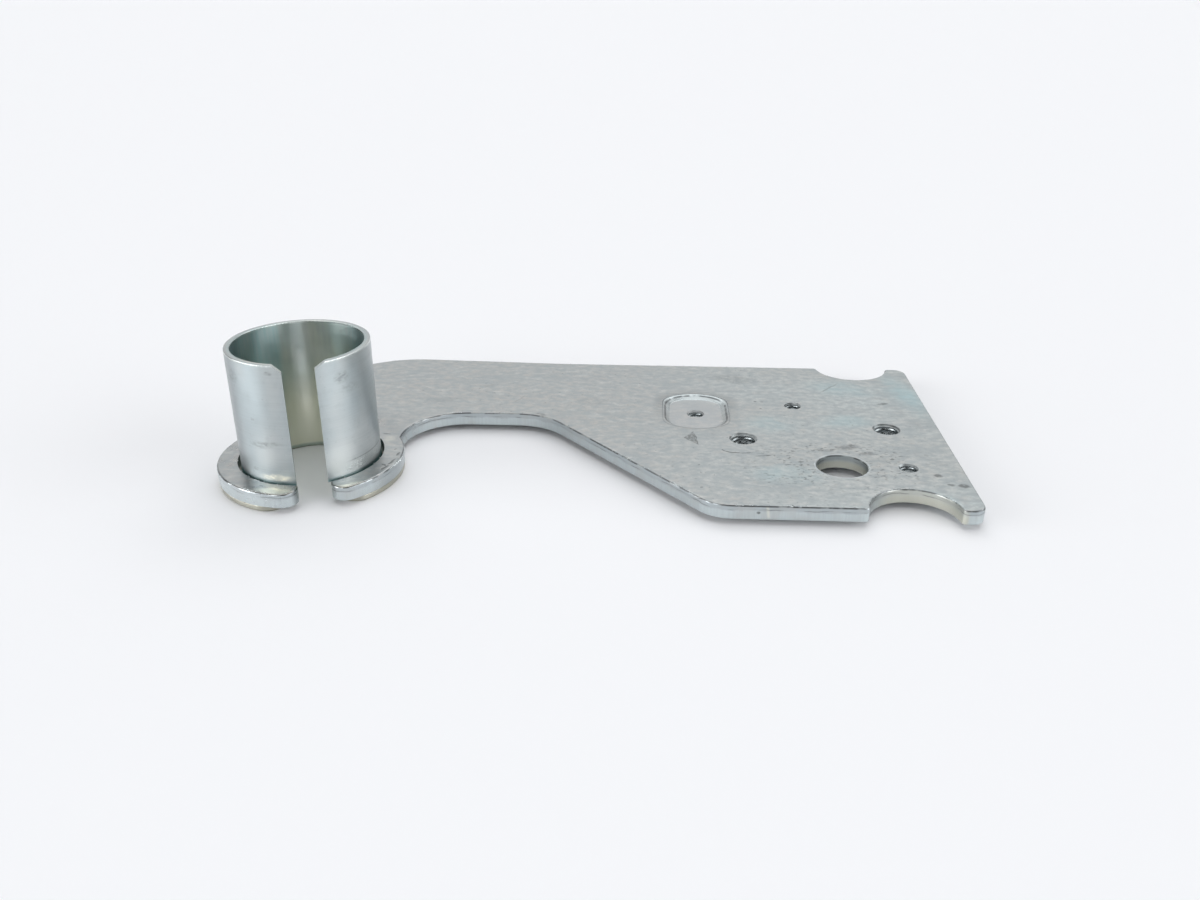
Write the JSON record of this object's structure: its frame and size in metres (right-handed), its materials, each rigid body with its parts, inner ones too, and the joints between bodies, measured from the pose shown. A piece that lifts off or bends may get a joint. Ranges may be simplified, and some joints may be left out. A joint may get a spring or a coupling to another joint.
{
  "type": "refrigerator door hinge",
  "caption": "Flat steel door hinge for a refrigerator: a drilled mounting plate, an arm round a throat, and an upright slit pivot sleeve in an open ring.",
  "frame": {"origin": "where the pivot axis meets the plate's upper face", "axes": "+Z along the pivot axis, out of the sleeve's free end; +X along the plate, away from the pivot"},
  "size_m": [0.1512, 0.0754, 0.0285],
  "materials": {
    "plate_steel": "zinc plated, dull",
    "sleeve_steel": "zinc plated, satin"
  },
  "bodies": {
    "root": {"hinge_plate": "plate_steel", "pivot_sleeve": "sleeve_steel"}
  },
  "joints": []
}
